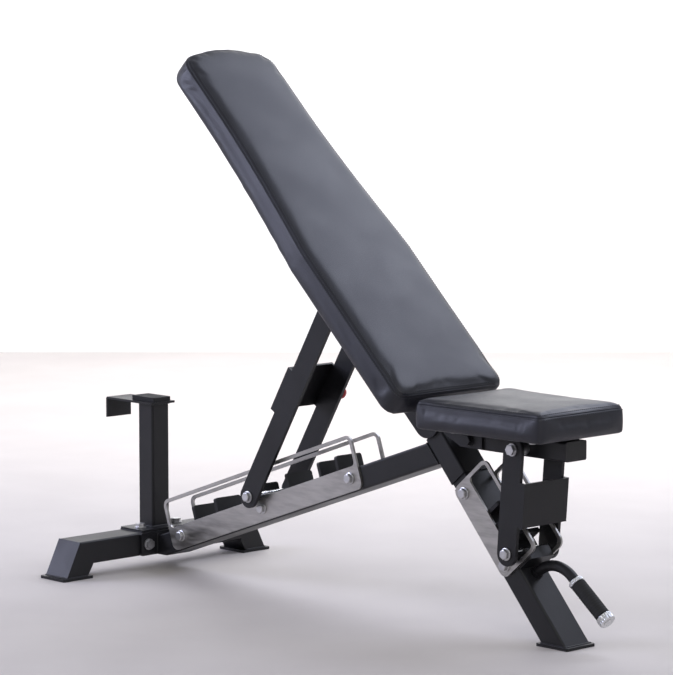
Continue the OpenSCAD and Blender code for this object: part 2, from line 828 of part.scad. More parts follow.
rear_stabilizer();
stabilizer_leg_left();
stabilizer_leg_right();
rear_foot_plates();
foot_pads();
spine_flange();
spine_tube();
leg_stub();
leg_spigot();
front_leg();
front_foot_plate();
post_base_plate();
post_tube();
post_top_plate();
post_bumper();
rear_guard_left();
rear_guard_right();
ladder_teeth();
front_guard_left();
front_guard_right();
seat_rungs();
handle_tube();
handle_ring();
handle_grip();
handle_end_cap();
hinge_lug();
hinge_bolt();
hinge_washers();
base_bolts();
rear_guard_bolts();
front_guard_bolts();
backrest_pad();
backrest_board();
backrest_tube();
backrest_tube_caps();
backrest_straps();
backrest_screws();
hinge_plate_left();
hinge_plate_right();
strut_shaft();
strut_bar_left();
strut_bar_right();
strut_channel();
strut_pin_bolts();
strut_knob();
strut_pin();
seat_pad();
seat_board();
seat_tube();
seat_tube_cap();
seat_straps();
seat_screws();
seat_plate_left();
seat_plate_right();
seat_strut_shaft();
seat_bar_left();
seat_bar_right();
seat_channel_plate();
seat_pin_bolts();
seat_pin();
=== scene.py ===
import json
import math
import random

import bpy
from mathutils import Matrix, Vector
from mathutils.bvhtree import BVHTree


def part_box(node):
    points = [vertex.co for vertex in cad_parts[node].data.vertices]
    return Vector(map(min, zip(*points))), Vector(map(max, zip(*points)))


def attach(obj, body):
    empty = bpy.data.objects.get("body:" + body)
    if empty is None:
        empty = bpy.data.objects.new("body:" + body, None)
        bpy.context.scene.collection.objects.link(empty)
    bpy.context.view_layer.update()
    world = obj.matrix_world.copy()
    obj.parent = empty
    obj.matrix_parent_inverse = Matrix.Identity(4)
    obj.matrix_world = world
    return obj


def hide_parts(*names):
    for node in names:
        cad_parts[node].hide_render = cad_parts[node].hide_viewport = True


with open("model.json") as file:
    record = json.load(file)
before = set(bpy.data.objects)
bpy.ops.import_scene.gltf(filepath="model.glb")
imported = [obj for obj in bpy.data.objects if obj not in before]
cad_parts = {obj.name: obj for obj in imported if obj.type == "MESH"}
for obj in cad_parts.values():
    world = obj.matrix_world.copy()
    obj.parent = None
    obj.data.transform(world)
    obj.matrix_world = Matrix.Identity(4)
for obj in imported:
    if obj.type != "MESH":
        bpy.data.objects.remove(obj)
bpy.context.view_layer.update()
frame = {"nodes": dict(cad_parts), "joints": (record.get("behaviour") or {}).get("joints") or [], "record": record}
random.seed(7)


# ---------- places, all from the frame ----------

def middle(node):
    lo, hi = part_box(node)
    return (lo + hi) / 2


def joint(name):
    return next(j for j in frame["joints"] if j["name"] == name)


# Directions out of (N) and along (U) the leg, the spine and the backrest
LEG_N = Vector(joint("seat_pin_lift")["axis"]).normalized()
SPINE_N = Vector(joint("backrest_pin_lift")["axis"]).normalized()
FOOT = middle("front_foot_plate")
SPINE_U = Vector((SPINE_N.z, 0, -SPINE_N.x))
rail = [v.co for v in frame["nodes"]["backrest_tube"].data.vertices]
rail_low = min(rail, key=lambda c: c.z)
rail_end = min(rail, key=lambda c: c.x)
BACK_U = (Vector((rail_end.x, 0, rail_end.z)) - Vector((rail_low.x, 0, rail_low.z))).normalized()
BACK_N = Vector((BACK_U.z, 0, -BACK_U.x))


# ---------- camera, floor and light ----------

CAMERA_FROM_FOOT = Vector((4.1656, -4.5922, 1.3122))
LOOK = Vector((-0.7202, 0.6849, -0.1113))
SENSOR_MM = 36.0
LENS_MM = 168.5
FLOOR_HALF = 9
WALL_DISTANCE = 3.6
WALL_HALF = 8
WALL_HEIGHT = 5
WORLD_STRENGTH = 0.42


def add_camera():
    data = bpy.data.cameras.new("camera")
    data.sensor_fit = "HORIZONTAL"
    data.sensor_width = SENSOR_MM
    data.lens = LENS_MM
    data.clip_end = 60
    cam = bpy.data.objects.new("camera", data)
    cam.location = Vector((FOOT.x, 0, 0)) + CAMERA_FROM_FOOT
    cam.rotation_mode = "QUATERNION"
    cam.rotation_quaternion = LOOK.to_track_quat("-Z", "Y")
    bpy.context.scene.collection.objects.link(cam)
    bpy.context.scene.camera = cam


def area_light(name, at, target, size, power, colour=(1, 1, 1)):
    data = bpy.data.lights.new(name, "AREA")
    data.shape = "RECTANGLE"
    data.size, data.size_y = size
    data.energy = power
    data.color = colour
    o = bpy.data.objects.new(name, data)
    o.location = at
    o.rotation_mode = "QUATERNION"
    o.rotation_quaternion = (Vector(target) - Vector(at)).to_track_quat("-Z", "Y")
    bpy.context.scene.collection.objects.link(o)


def add_stage():
    h = FLOOR_HALF
    floor = new_mesh("floor", [(-h, -h, 0), (h, -h, 0), (h, h, 0), (-h, h, 0)], [(0, 1, 2, 3)])
    floor.data.materials.append(plain("floor_pale", (0.62, 0.58, 0.56), 0.6))
    wall_foot = Vector((FOOT.x, 0, 0)) + LOOK * WALL_DISTANCE * math.sqrt(2)
    across = Vector((-LOOK.y, LOOK.x, 0)).normalized() * WALL_HALF
    base = Vector((wall_foot.x, wall_foot.y, 0))
    up = Vector((0, 0, WALL_HEIGHT))
    corners = [base - across, base + across, base + across + up, base - across + up]
    wall = new_mesh("wall", corners, [(0, 1, 2, 3)])
    wall.data.materials.append(plain("wall_white", (0.9, 0.9, 0.9), 0.8))
    world = bpy.data.worlds.new("studio")
    world.use_nodes = True
    background = world.node_tree.nodes["Background"]
    background.inputs["Color"].default_value = (0.95, 0.96, 1.0, 1)
    background.inputs["Strength"].default_value = WORLD_STRENGTH
    bpy.context.scene.world = world
    bpy.context.scene.view_settings.view_transform = "Standard"
    area_light("wall_wash", (-1.4, 2.2, 3.2), (-2.6, 3.6, 1.0), (5.0, 1.0), 170)
    area_light("sky", (0.35, 1.9, 2.7), (0.1, 0, 0.7), (2.6, 2.0), 42, (0.74, 0.79, 1.0))
    area_light("left_window", (-2.8, -2.3, 1.75), (-0.2, 0, 0.8), (1.8, 1.5), 64, (0.70, 0.73, 1.0))
    area_light("fill", (3.2, -1.6, 2.6), (0.2, 0, 0.4), (2.0, 2.0), 26, (1, 0.98, 0.96))


# ---------- mesh helpers ----------

def new_mesh(name, points, faces, smooth=False):
    mesh = bpy.data.meshes.new(name)
    mesh.from_pydata([tuple(p) for p in points], [], faces)
    mesh.validate()
    if smooth:
        mesh.polygons.foreach_set("use_smooth", [True] * len(mesh.polygons))
    mesh.update()
    o = bpy.data.objects.new(name, mesh)
    bpy.context.scene.collection.objects.link(o)
    return o


def rings_mesh(name, rings, smooth=True, close=True):
    """Skin over rings of equal length, closed at both ends by a centre point."""
    n = len(rings[0])
    points = [p for ring in rings for p in ring]
    faces = []
    for k in range(len(rings) - 1):
        for i in range(n):
            j = (i + 1) % n
            faces.append((k * n + i, k * n + j, (k + 1) * n + j, (k + 1) * n + i))
    if close:
        for k, flip in ((0, True), (len(rings) - 1, False)):
            centre = sum((Vector(p) for p in rings[k]), Vector()) / n
            points.append(centre)
            c = len(points) - 1
            for i in range(n):
                j = (i + 1) % n
                a, b = k * n + i, k * n + j
                faces.append((b, a, c) if flip else (a, b, c))
    return new_mesh(name, points, faces, smooth)


def lathe(name, start, axis, profile, count=48, wobble=None):
    """Turned piece: profile is (distance along axis, radius) pairs."""
    axis = Vector(axis).normalized()
    side = axis.orthogonal().normalized()
    up = axis.cross(side)
    rings = []
    for a, r in profile:
        ring = []
        for i in range(count):
            t = 2 * math.pi * i / count
            rr = r + (wobble(a, i) if wobble else 0)
            ring.append(Vector(start) + axis * a + (side * math.cos(t) + up * math.sin(t)) * rr)
        rings.append(ring)
    return rings_mesh(name, rings)


def join(name, objects):
    """Several meshes as one object that keeps each one's faces and materials."""
    points, faces, smooth, mats, index = [], [], [], [], []
    for o in objects:
        base = len(points)
        points += [v.co.copy() for v in o.data.vertices]
        for p in o.data.polygons:
            faces.append([base + v for v in p.vertices])
            smooth.append(p.use_smooth)
            m = o.data.materials[p.material_index] if o.data.materials else None
            if m not in mats:
                mats.append(m)
            index.append(mats.index(m))
        old = o.data
        bpy.data.objects.remove(o)
        bpy.data.meshes.remove(old)
    made = new_mesh(name, points, faces)
    for m in mats:
        if m:
            made.data.materials.append(m)
    made.data.polygons.foreach_set("use_smooth", smooth)
    made.data.polygons.foreach_set("material_index", index)
    return made


# ---------- materials ----------

def material(name, base, rough, metal=0.0, coat=0.0, coat_rough=0.3, specular=0.5):
    m = bpy.data.materials.new(name)
    m.use_nodes = True
    b = m.node_tree.nodes["Principled BSDF"]
    b.inputs["Base Color"].default_value = (*base, 1)
    b.inputs["Roughness"].default_value = rough
    b.inputs["Metallic"].default_value = metal
    b.inputs["Coat Weight"].default_value = coat
    b.inputs["Coat Roughness"].default_value = coat_rough
    b.inputs["Specular IOR Level"].default_value = specular
    return m


def node(m, kind, **values):
    """New shader node, its sockets and its settings given by name."""
    n = m.node_tree.nodes.new(kind)
    for key, value in values.items():
        if key in n.inputs:
            n.inputs[key].default_value = value
        else:
            setattr(n, key, value)
    return n


def link(m, a, out, b, inp):
    m.node_tree.links.new(a.outputs[out], b.inputs[inp])


def noise_at(m, scale, detail=3.0, stretch=(1, 1, 1)):
    where = node(m, "ShaderNodeTexCoord")
    turn = node(m, "ShaderNodeMapping")
    turn.inputs["Scale"].default_value = stretch
    n = node(m, "ShaderNodeTexNoise", Scale=scale, Detail=detail)
    link(m, where, "Object", turn, "Vector")
    link(m, turn, "Vector", n, "Vector")
    return n


def ramp(m, source, out, low, high, at=(0.35, 0.65)):
    r = node(m, "ShaderNodeValToRGB")
    r.color_ramp.elements[0].position, r.color_ramp.elements[1].position = at
    r.color_ramp.elements[0].color = (*low, 1)
    r.color_ramp.elements[1].color = (*high, 1)
    link(m, source, out, r, "Fac")
    return r


def bump(m, sources, strength, distance=0.001):
    """Chain of bumps into the shader's normal."""
    b = m.node_tree.nodes["Principled BSDF"]
    last = None
    for source, out, s in sources:
        n = node(m, "ShaderNodeBump", Strength=s * strength, Distance=distance)
        link(m, source, out, n, "Height")
        if last:
            link(m, last, "Normal", n, "Normal")
        last = n
    link(m, last, "Normal", b, "Normal")


def vary(m, base, other, rough, scale, stretch=(1, 1, 1), detail=4.0):
    """Colour and roughness that drift a little over the surface."""
    b = m.node_tree.nodes["Principled BSDF"]
    n = noise_at(m, scale, detail, stretch)
    c = ramp(m, n, "Fac", base, other)
    link(m, c, "Color", b, "Base Color")
    r = ramp(m, n, "Fac", (rough[0],) * 3, (rough[1],) * 3)
    link(m, r, "Color", b, "Roughness")
    return n


def plain(name, base, rough):
    m = material(name, base, rough)
    vary(m, base, tuple(c * 0.96 for c in base), (rough, min(1, rough + 0.1)), 3)
    return m


def powder_coat():
    m = material("powder_coat_black", (0.01, 0.01, 0.012), 0.42, specular=0.38)
    vary(m, (0.0085, 0.0085, 0.0105), (0.0135, 0.0135, 0.016), (0.34, 0.46), 7)
    fine = noise_at(m, 700, 2)
    orange_peel = noise_at(m, 180, 2)
    bump(m, [(orange_peel, "Fac", 0.35), (fine, "Fac", 0.5)], 0.35, 0.0006)
    return m


def vinyl(name):
    m = material(name, (0.02, 0.021, 0.026), 0.42, specular=0.55, coat=0.06, coat_rough=0.35)
    vary(m, (0.0090, 0.0098, 0.0170), (0.0135, 0.0143, 0.0245), (0.38, 0.47), 9)
    grain = node(m, "ShaderNodeTexVoronoi", Scale=520.0, feature="DISTANCE_TO_EDGE")
    where = node(m, "ShaderNodeTexCoord")
    link(m, where, "Object", grain, "Vector")
    crease = ramp(m, grain, "Distance", (0, 0, 0), (1, 1, 1), (0.0, 0.16))
    fine = noise_at(m, 1400, 2)
    soft = noise_at(m, 26, 2)
    bump(m, [(soft, "Fac", 0.35), (crease, "Color", 0.5), (fine, "Fac", 0.25)], 0.4, 0.0008)
    return m


def brushed(name, base, rough, stretch, coarse=340):
    m = material(name, base, rough, metal=1.0)
    b = m.node_tree.nodes["Principled BSDF"]
    b.inputs["Anisotropic"].default_value = 0.5
    lines = noise_at(m, coarse, 4, stretch)
    c = ramp(m, lines, "Fac", tuple(x * 0.8 for x in base), tuple(min(1, x * 1.12) for x in base))
    link(m, c, "Color", b, "Base Color")
    r = ramp(m, lines, "Fac", (rough - 0.07,) * 3, (rough + 0.1,) * 3)
    link(m, r, "Color", b, "Roughness")
    bump(m, [(lines, "Fac", 1.0)], 0.12, 0.0004)
    return m


def metal(name, base, rough):
    m = material(name, base, rough, metal=1.0)
    vary(m, base, tuple(x * 0.86 for x in base), (rough, rough + 0.14), 60)
    fine = noise_at(m, 500, 3)
    bump(m, [(fine, "Fac", 1.0)], 0.08, 0.0004)
    return m


def rubber(name, base=(0.014, 0.014, 0.015)):
    m = material(name, base, 0.72, specular=0.35)
    vary(m, base, tuple(c * 1.7 for c in base), (0.62, 0.82), 40)
    fine = noise_at(m, 900, 3)
    bump(m, [(fine, "Fac", 1.0)], 0.3, 0.0006)
    return m


def moulded(name, base, rough, specular=0.5):
    m = material(name, base, rough, specular=specular)
    vary(m, base, tuple(c * 1.25 for c in base), (rough, rough + 0.12), 30)
    fine = noise_at(m, 1100, 2)
    bump(m, [(fine, "Fac", 1.0)], 0.15, 0.0004)
    return m


PAINT = powder_coat()
VINYL = vinyl("pad_vinyl_black")
MATERIALS = {
    "frame_paint": PAINT,
    "guard_steel": brushed("guard_brushed_steel", (0.5, 0.49, 0.475), 0.36, (0.05, 1, 0.3)),
    "zinc": metal("zinc_plate", (0.62, 0.62, 0.63), 0.3),
    "pin_chrome": metal("pin_chrome", (0.7, 0.71, 0.73), 0.14),
    "pad_vinyl": VINYL,
    "board": moulded("board_cover", (0.012, 0.012, 0.013), 0.7),
    "rubber": rubber("rubber_black"),
    "cap_plastic": moulded("cap_plastic", (0.016, 0.016, 0.017), 0.5),
    "knob_plastic": moulded("knob_red", (0.42, 0.012, 0.016), 0.28),
    "aluminium": brushed("aluminium_turned", (0.78, 0.79, 0.8), 0.26, (1, 1, 1), 800),
}


def dress_nodes():
    for part in frame["record"]["subparts"]:
        o = frame["nodes"][part["node"]]
        o.data.materials.clear()
        o.data.materials.append(MATERIALS[part["material_slot"]])


# ---------- pads ----------

def arc_points(x, y, r, a0, a1, n):
    """Arc about (x, y) from angle a0 to a1 in degrees, in n steps."""
    return [(x + r * math.cos(math.radians(a0 + (a1 - a0) * i / n)),
             y + r * math.sin(math.radians(a0 + (a1 - a0) * i / n))) for i in range(n + 1)]


def spaced(points, step):
    """Closed outline with points at an even spacing."""
    ends = list(zip(points, points[1:] + points[:1]))
    lengths = [math.dist(a, b) for a, b in ends]
    count = max(24, round(sum(lengths) / step))
    out, k, total = [], 0, 0.0
    for i in range(count):
        goal = sum(lengths) * i / count
        while total + lengths[k] < goal:
            total += lengths[k]
            k += 1
        a, b = ends[k]
        t = (goal - total) / lengths[k]
        out.append((a[0] + (b[0] - a[0]) * t, a[1] + (b[1] - a[1]) * t))
    return out


def shrunk(outline, amount):
    """Outline moved inwards by an amount, point by point along its normals."""
    out = []
    n = len(outline)
    for i, (x, y) in enumerate(outline):
        ax, ay = outline[(i - 2) % n]
        bx, by = outline[(i + 2) % n]
        tx, ty = bx - ax, by - ay
        size = math.hypot(tx, ty) or 1
        out.append((x + ty / size * -amount, y + tx / size * amount))
    return out


def turning(outline):
    """1 for an outline that runs anticlockwise, -1 for one that runs clockwise."""
    ends = zip(outline, outline[1:] + outline[:1])
    return 1 if sum(a[0] * b[1] - b[0] * a[1] for a, b in ends) > 0 else -1


class Plane:
    """A pad's own directions: u along it, y across, n out of its back."""

    def __init__(self, origin, u, n):
        self.o, self.u, self.n = Vector(origin), Vector(u), Vector(n)

    def at(self, s, y, h):
        return self.o + self.u * s + Vector((0, y, 0)) + self.n * h

    def inside(self, p):
        d = Vector(p) - self.o
        return d.dot(self.u), p[1], d.dot(self.n)


def back_half(s, length, wide, narrow):
    """Half width of the backrest: parallel, then a smooth taper to the head."""
    start, end = 0.41 * length, 0.8 * length
    t = min(1, max(0, (s - start) / (end - start)))
    return wide - (wide - narrow) * (1 - (1 - t) ** 1.6)


def back_outline(length, wide, narrow):
    """Backrest outline: square lower end, tapered sides, crowned head end."""
    low_r, head_r, bulge = 0.028, 0.052, 0.013
    head = length - 0.006
    flat = narrow - head_r
    half = arc_points(low_r, wide - low_r, low_r, 180, 90, 8)
    for i in range(19):
        s = length * (0.08 + 0.72 * i / 18)
        half.append((s, back_half(s, length, wide, narrow)))
    half += arc_points(head - head_r, flat, head_r, 90, 0, 8)[:8]
    for i in range(6):
        y = flat * (1 - i / 6)
        half.append((head + bulge * (1 - (y / flat) ** 2), y))
    return half + [(s, -y) for s, y in reversed(half)]


def seat_outline(length, wide, narrow):
    r = 0.012
    half = arc_points(r, wide - r, r, 180, 92, 6)
    half += arc_points(length - r, narrow - r, r, 82, 0, 6)
    return half + [(s, -y) for s, y in reversed(half)]


def pad_rings(plane, outline, levels):
    """Rings of a pad from (height, inset) levels, back face first."""
    sign = turning(outline)
    return [[plane.at(s, y, h) for s, y in shrunk(outline, inset * sign)] for h, inset in levels]


def pad_body(name, plane, outline, thick, crown):
    """Upholstered pad: flat back, side band, a tight roll at the seam, then a crowned front."""
    roll_h = 0.0054
    band = [(0.000, 0.016), (0.0005, 0.008), (0.003, 0.0025), (0.010, 0.0008), (thick * 0.5, 0.0),
            (thick - 0.008, 0.0), (thick - 0.002, 0.0008), (thick, 0.0016)]
    roll = [(thick + 0.0022, 0.0030), (thick + 0.0042, 0.0058), (thick + roll_h, 0.0100)]
    rings = pad_rings(plane, outline, band + roll)
    ridge = 0.7 * max(y for _, y in outline)
    low = min(s for s, _ in outline) + ridge
    high = max(s for s, _ in outline) - ridge
    edge = [plane.inside(p) for p in rings[-1]]
    for t in (0.05, 0.12, 0.22, 0.36, 0.52, 0.7, 0.86, 0.97):
        h = thick + roll_h + (crown - roll_h) * (1 - (1 - t) ** 2)
        rings.append([plane.at(s + (min(max(s, low), high) - s) * t, y * (1 - t), h)
                      for s, y, _ in edge])
    return rings_mesh(name, rings)


CLOTH_FRAMES = 20
BOARD_HEIGHT = 0.006


def simulate(o, voxel, pressure, cap, plane):
    """Inflates a pad with cloth, then keeps each point within a cap of where it began."""
    bpy.context.view_layer.objects.active = o
    for other in bpy.context.selected_objects:
        other.select_set(False)
    o.select_set(True)
    remesh = o.modifiers.new("remesh", "REMESH")
    remesh.mode = "VOXEL"
    remesh.voxel_size = voxel
    remesh.use_smooth_shade = True
    bpy.ops.object.modifier_apply(modifier=remesh.name)
    start = [v.co.copy() for v in o.data.vertices]
    pinned = o.vertex_groups.new(name="board")
    flat = [v.index for v in o.data.vertices if plane.inside(v.co)[2] < BOARD_HEIGHT]
    pinned.add(flat, 1.0, "REPLACE")
    cloth = o.modifiers.new("cloth", "CLOTH")
    cloth.settings.quality = 6
    cloth.settings.mass = 0.4
    cloth.settings.tension_stiffness = 18
    cloth.settings.compression_stiffness = 18
    cloth.settings.shear_stiffness = 8
    cloth.settings.bending_stiffness = 1.2
    cloth.settings.use_pressure = True
    cloth.settings.uniform_pressure_force = pressure
    cloth.settings.effector_weights.gravity = 0.0
    cloth.settings.vertex_group_mass = "board"
    cloth.point_cache.frame_start, cloth.point_cache.frame_end = 1, CLOTH_FRAMES
    for f in range(1, CLOTH_FRAMES + 1):
        bpy.context.scene.frame_set(f)
    shaped = o.evaluated_get(bpy.context.evaluated_depsgraph_get()).data
    moved = [v.co.copy() for v in shaped.vertices]
    o.modifiers.remove(cloth)
    for v, a, b in zip(o.data.vertices, start, moved):
        d = b - a
        v.co = a + d * min(1.0, cap / max(d.length, 1e-9))
    bpy.context.scene.frame_set(1)
    o.vertex_groups.clear()
    smooth = o.modifiers.new("smooth", "SMOOTH")
    smooth.factor, smooth.iterations = 0.5, 4
    bpy.ops.object.modifier_apply(modifier=smooth.name)


def refine(o):
    """One smooth subdivision of the pad's surface."""
    sub = o.modifiers.new("subdivision", "SUBSURF")
    sub.levels = sub.render_levels = 1
    bpy.context.view_layer.objects.active = o
    bpy.ops.object.modifier_apply(modifier=sub.name)
    o.data.polygons.foreach_set("use_smooth", [True] * len(o.data.polygons))


def seam_points(tree, plane, outline, inner, height):
    """Points and normals round the pad's surface at a height, met by rays from outside."""
    points, normals = [], []
    for (s, y), (si, yi) in zip(outline, inner):
        inwards = (plane.at(si, yi, height) - plane.at(s, y, height)).normalized()
        hit, normal, _, _ = tree.ray_cast(plane.at(s, y, height) - inwards * 0.05, inwards)
        if hit:
            points.append(hit + normal * 0.0002)
            normals.append(normal)
    return points, normals


def seam_groove(o, plane, height, depth, width):
    """Presses the seam line into the side band."""
    for v in o.data.vertices:
        off = abs(plane.inside(v.co)[2] - height)
        if off < width:
            v.co -= v.normal * depth * (1 - off / width) ** 2


def tube_along(name, points, normals, radius):
    """Closed loop of thin round cord lying on a surface."""
    count, n = 6, len(points)
    rings = []
    for i in range(n):
        a, b = points[i - 1], points[(i + 1) % n]
        t = (b - a).normalized()
        side = normals[i].cross(t).normalized()
        up = t.cross(side)
        rings.append([points[i] + (side * math.cos(2 * math.pi * k / count)
                      + up * math.sin(2 * math.pi * k / count)) * radius for k in range(count)])
    rings.append(rings[0])
    return rings_mesh(name, rings, close=False)


def stitches(name, points, normals, pitch, length, radius):
    """Short threads laid end to end along a seam."""
    sides = 6
    waist = ((-0.5, -0.3, 0.4), (-0.3, 0.5, 1), (0.3, 0.5, 1), (0.5, -0.3, 0.4))
    made_points, faces = [], []
    walked, due = 0.0, 0.0
    n = len(points)
    for i in range(n):
        a, b = points[i], points[(i + 1) % n]
        step = (b - a).length
        along = (b - a).normalized()
        out = normals[i]
        side = along.cross(out).normalized()
        while walked + step > due:
            at = a.lerp(b, (due - walked) / step)
            base = len(made_points)
            for shift, lift, share in waist:
                c = at + along * length * shift + out * radius * lift
                for k in range(sides):
                    turn = 2 * math.pi * k / sides
                    made_points.append(c + (side * math.cos(turn) + out * math.sin(turn)) * radius * share)
            for q in range(len(waist) - 1):
                near, far = base + q * sides, base + (q + 1) * sides
                for k in range(sides):
                    j = (k + 1) % sides
                    faces.append((near + k, near + j, far + j, far + k))
            faces.append(tuple(base + k for k in reversed(range(sides))))
            last = base + (len(waist) - 1) * sides
            faces.append(tuple(last + k for k in range(sides)))
            due += pitch
        walked += step
    return new_mesh(name, made_points, faces, smooth=True)


THREAD = moulded("seam_thread", (0.035, 0.036, 0.045), 0.55)


PAD_CROWN_CAP = 0.0035
PAD_PRESSURE = 4.0
SEAM_DEPTH, SEAM_WIDTH = 0.0016, 0.0045
WELT_R = 0.0012
STITCH_PITCH, STITCH_L, STITCH_R = 0.0058, 0.0042, 0.0007


def make_pad(name, body, cad_node, plane, outline, thick, crown, voxel):
    """Inflated pad with a welt along its seam and a row of stitches on each side of it."""
    outline = spaced(outline, 0.007)
    o = pad_body(name, plane, outline, thick, crown)
    simulate(o, voxel, PAD_PRESSURE, PAD_CROWN_CAP, plane)
    refine(o)
    seam = thick - 0.001
    seam_groove(o, plane, seam, SEAM_DEPTH, SEAM_WIDTH)
    o.data.materials.append(VINYL)
    tree = BVHTree.FromPolygons([v.co for v in o.data.vertices], [p.vertices for p in o.data.polygons])
    inner = shrunk(outline, 0.03 * turning(outline))
    welt = tube_along(f"{name}_welt", *seam_points(tree, plane, outline, inner, seam), WELT_R)
    welt.data.materials.append(VINYL)
    trim = [welt]
    for k, height in ((1, seam - 0.0045), (2, seam + 0.0045)):
        row = stitches(f"{name}_stitch_{k}", *seam_points(tree, plane, outline, inner, height),
                       STITCH_PITCH, STITCH_L, STITCH_R)
        row.data.materials.append(THREAD)
        trim.append(row)
    for piece in (o, join(f"{name}_stitching", trim)):
        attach(piece, body)
    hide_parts(cad_node)


def add_pads():
    pad = [v.co for v in frame["nodes"]["backrest_pad"].data.vertices]
    low = min(c.dot(BACK_U) for c in pad)
    high = max(c.dot(BACK_U) for c in pad)
    back = min(c.dot(BACK_N) for c in pad)
    thick = max(c.dot(BACK_N) for c in pad) - back
    wide = max(c.y for c in pad)
    tip = max(c.y for c in pad if c.dot(BACK_U) > high - 0.08)
    plane = Plane(BACK_U * low + BACK_N * back, BACK_U, BACK_N)
    make_pad("backrest_cushion", "backrest", "backrest_pad", plane,
             back_outline(high - low, wide, tip), thick - 0.001, 0.0095, 0.005)
    lo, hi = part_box("seat_pad")
    front = max(v.co.y for v in frame["nodes"]["seat_pad"].data.vertices if v.co.x > hi.x - 0.03)
    plane = Plane((lo.x, 0, lo.z), (1, 0, 0), (0, 0, 1))
    proud = 0.002
    outline = seat_outline(hi.x - lo.x + 2 * proud, hi.y + proud, front + proud)
    make_pad("seat_cushion", "seat", "seat_pad", plane, [(s - proud, y) for s, y in outline],
             hi.z - lo.z - 0.001, 0.010, 0.004)


# ---------- fasteners, grip and welds ----------

def islands(node_name):
    """Vertices of each separate solid in a CAD node."""
    mesh = frame["nodes"][node_name].data
    keys, parent = {}, list(range(len(mesh.vertices)))

    def root(i):
        while parent[i] != i:
            parent[i] = parent[parent[i]]
            i = parent[i]
        return i

    for v in mesh.vertices:
        place = tuple(round(c * 20000) for c in v.co)
        if place in keys:
            parent[root(v.index)] = root(keys[place])
        keys[place] = v.index
    for e in mesh.edges:
        parent[root(e.vertices[0])] = root(e.vertices[1])
    groups = {}
    for v in mesh.vertices:
        groups.setdefault(root(v.index), []).append(v.co.copy())
    return list(groups.values())


HEX_R = 0.0109
BOLT_H = 0.010


def hex_bolt(name, base, axis, turn):
    """Washer, chamfered hex head with its domed top, standing at base along axis."""
    axis = Vector(axis).normalized()
    side = Vector((0, 0, 1)) if abs(axis.z) < 0.7 else Vector((1, 0, 0))
    side = (side - axis * side.dot(axis)).normalized()
    other = axis.cross(side)
    washer = lathe(name + "_washer", base, axis, [(0, 0.0085), (0, 0.0125), (0.0004, 0.013),
                   (0.002, 0.013), (0.0025, 0.0124), (0.0025, 0.0085)])

    def ring(height, r, roundness):
        """Hexagon of corner radius r that turns into a circle as roundness goes to 1."""
        points = []
        for i in range(48):
            a = 2 * math.pi * i / 48
            from_flat = (a + math.pi / 6) % (math.pi / 3) - math.pi / 6
            hexagon = r * math.cos(math.pi / 6) / math.cos(from_flat)
            rr = hexagon * (1 - roundness) + r * 0.87 * roundness
            a += turn
            points.append(base + axis * height + (side * math.cos(a) + other * math.sin(a)) * rr)
        return points

    head = rings_mesh(name + "_head", [ring(0.0025, 0.0103, 0.3), ring(0.0032, HEX_R, 0),
                      ring(0.0085, HEX_R, 0), ring(0.0094, 0.0104, 0.7), ring(0.0098, 0.0095, 1),
                      ring(0.0099, 0.0070, 1)], smooth=False)
    for part in (washer, head):
        part.data.materials.append(MATERIALS["zinc"])
    return [washer, head]


def dress_bolts():
    """The guards' and the strut pins' hex heads, chamfered, each on a washer."""
    for node_name, body in (("rear_guard_bolts", "frame"), ("front_guard_bolts", "frame"),
                            ("strut_pin_bolts", "backrest_strut"), ("seat_pin_bolts", "seat_strut")):
        parts = []
        for k, group in enumerate(islands(node_name)):
            centre = sum(group, Vector()) / len(group)
            side = 1 if centre.y > 0 else -1
            box_middle = (Vector(map(min, zip(*group))) + Vector(map(max, zip(*group)))) / 2
            top = max(c.y * side for c in group)
            base = Vector((box_middle.x, side * (top - BOLT_H), box_middle.z))
            parts += hex_bolt(f"{node_name}_{k}", base, (0, side, 0), random.uniform(0, 1))
        whole = join(f"{node_name}_detailed", parts)
        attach(whole, body)
        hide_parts(node_name)


def tail_frame():
    """Start and direction of the handle's straight tail, from the ring and the end cap."""
    a, b = middle("handle_ring"), middle("handle_end_cap")
    return a, (b - a).normalized()


def node_span(node_name, axis, origin):
    """How far a node reaches along an axis from an origin."""
    along = [(v.co - origin).dot(axis) for v in frame["nodes"][node_name].data.vertices]
    return min(along), max(along)


TURNED_SIDES = 160
RIB_DEPTH = 0.0013


